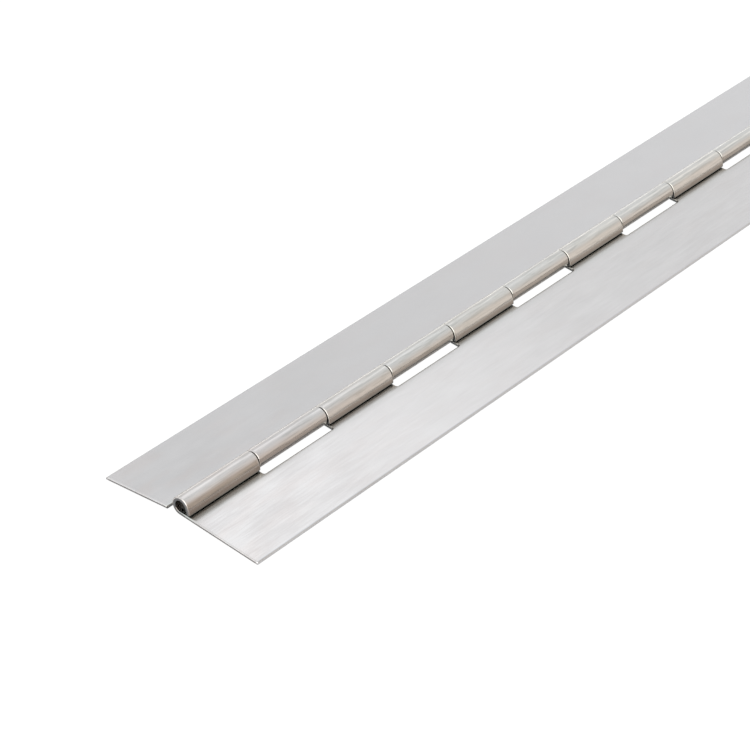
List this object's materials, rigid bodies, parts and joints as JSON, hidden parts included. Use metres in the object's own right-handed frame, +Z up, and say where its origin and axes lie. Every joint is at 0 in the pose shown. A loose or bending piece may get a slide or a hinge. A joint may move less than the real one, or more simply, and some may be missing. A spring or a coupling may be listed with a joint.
{
  "type": "continuous hinge",
  "caption": "Plain, unperforated continuous (piano) hinge in brushed stainless sheet: two slotted leaves with rolled knuckles that alternate along one wire pin.",
  "frame": {"origin": "under the middle of the pin, on the surface that the two outer edges stand on", "axes": "+X along the pin, away from the end whose first knuckle belongs to the right leaf; +Y towards the left leaf; +Z up, out of the knuckle side"},
  "size_m": [0.3048, 0.0504, 0.0073],
  "materials": {
    "right_leaf_sheet": "fine brushed mill finish, grain along the hinge",
    "left_leaf_sheet": "fine brushed mill finish, grain along the hinge",
    "pin_wire": "drawn wire, satin"
  },
  "bodies": {
    "right_leaf": {"right_leaf": "right_leaf_sheet", "hinge_pin": "pin_wire"},
    "left_leaf": {"left_leaf": "left_leaf_sheet"}
  },
  "joints": [
    {"name": "leaf_swing", "type": "hinge", "parent": "right_leaf", "child": "left_leaf", "pos_m": [0, 0, 0.00462], "axis": [1, 0, 0], "range_deg": [-100, 189]}
  ]
}
